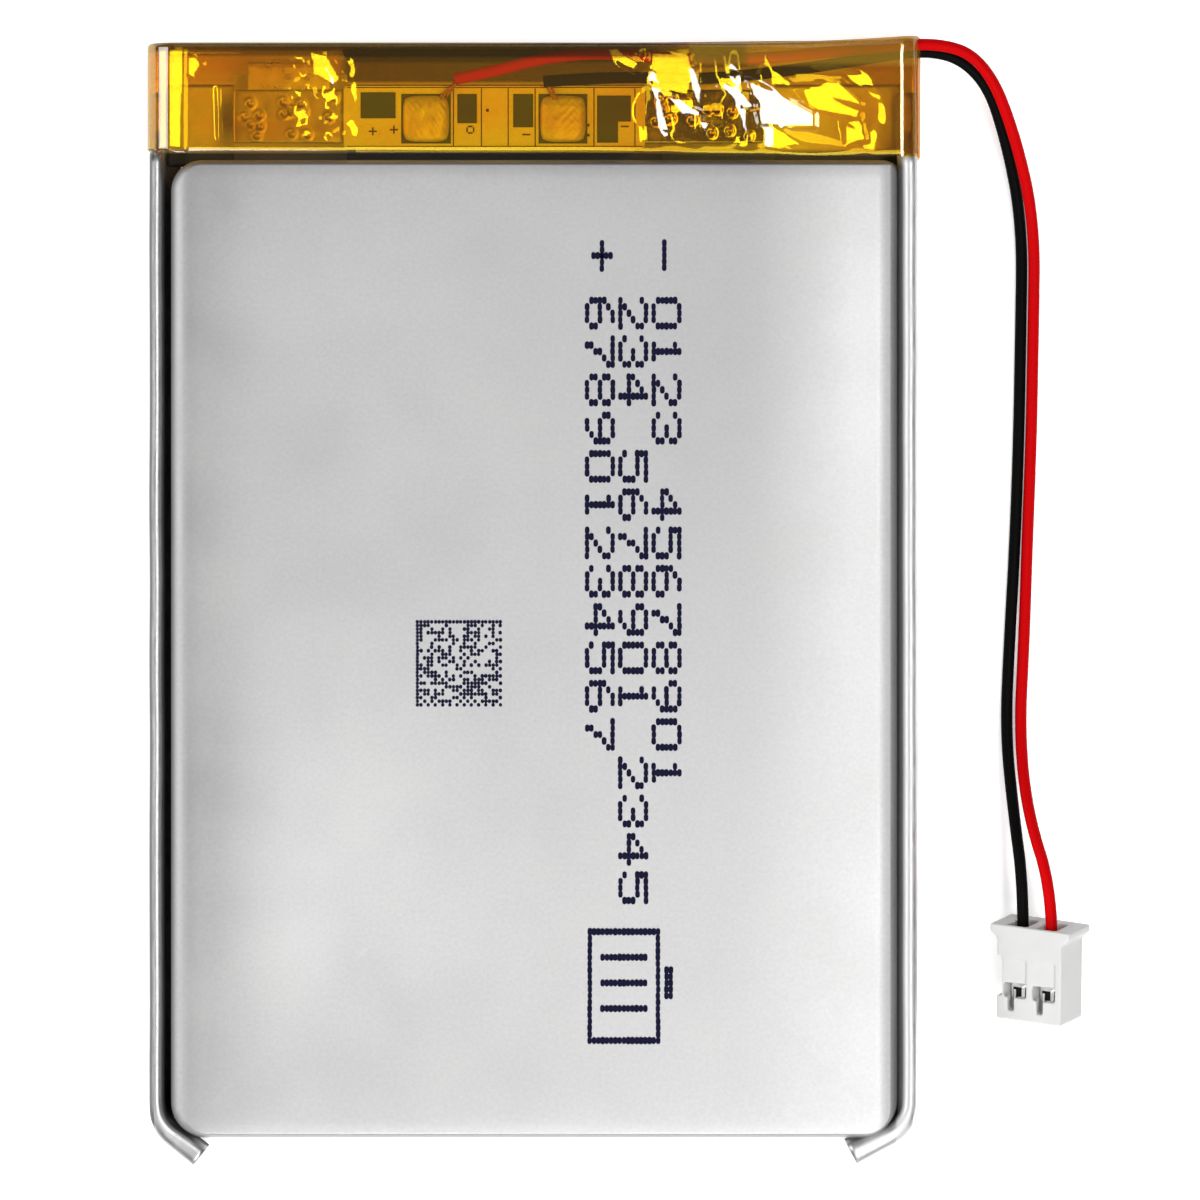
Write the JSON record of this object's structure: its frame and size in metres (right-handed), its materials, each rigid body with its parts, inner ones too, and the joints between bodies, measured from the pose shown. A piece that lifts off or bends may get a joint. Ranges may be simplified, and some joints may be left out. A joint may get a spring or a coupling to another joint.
{
  "type": "pouch battery cell with protection board and leads",
  "caption": "Flat rectangular soft-pack battery cell with folded side seals, amber taped head over its protection board, and two leads to a small white plug.",
  "frame": {"origin": "on the surface that the cell lies on, under the middle of the cell without its leads and plug", "axes": "+Y along the cell towards the taped head, +Z out of the printed face, +X to the side where the leads come out"},
  "size_m": [0.058, 0.0696, 0.0062],
  "materials": {
    "pouch_laminate": "satin, matt nylon over aluminium foil",
    "cathode_coating": "matt black oxide coating",
    "graphite_coating": "matt dark grey graphite",
    "separator": "thin translucent white film",
    "inner_tape": "green tape",
    "tab_aluminium": "bright foil",
    "tab_nickel": "bright nickel",
    "tab_sealant": "milky film",
    "board": "green solder mask",
    "pad_copper": "gold flash",
    "chip_plastic": "moulded black",
    "chip_ceramic": "fired",
    "solder": "bright solder",
    "foam": "white foam",
    "polyimide_tape": "glossy amber film",
    "red_insulation": "soft satin",
    "black_insulation": "soft satin",
    "copper_strand": "tinned copper strands",
    "plug_plastic": "white nylon",
    "terminal_tin": "bright tin"
  },
  "bodies": {
    "root": {"anode_strip": "graphite_coating", "black_wire_conductor": "copper_strand", "black_wire_insulation": "black_insulation", "board_foam_pad": "foam", "board_pads": "pad_copper", "cathode_strip": "cathode_coating", "chip_capacitors": "chip_ceramic", "chip_resistors": "chip_ceramic", "circuit_board": "board", "connector_housing": "plug_plastic", "inner_tape_wrap": "polyimide_tape", "mosfet_chip": "chip_plastic", "negative_link": "tab_nickel", "negative_tab": "tab_nickel", "negative_tab_sealant": "tab_sealant", "negative_terminal": "terminal_tin", "negative_weld_tape": "inner_tape", "outer_tape_wrap": "polyimide_tape", "positive_link": "tab_nickel", "positive_tab": "tab_aluminium", "positive_tab_sealant": "tab_sealant", "positive_terminal": "terminal_tin", "positive_weld_tape": "inner_tape", "pouch_film": "pouch_laminate", "protection_chip": "chip_plastic", "red_wire_conductor": "copper_strand", "red_wire_insulation": "red_insulation", "separator_inner": "separator", "separator_outer": "separator", "solder_joints": "solder", "winding_end_tape": "inner_tape"}
  },
  "joints": []
}
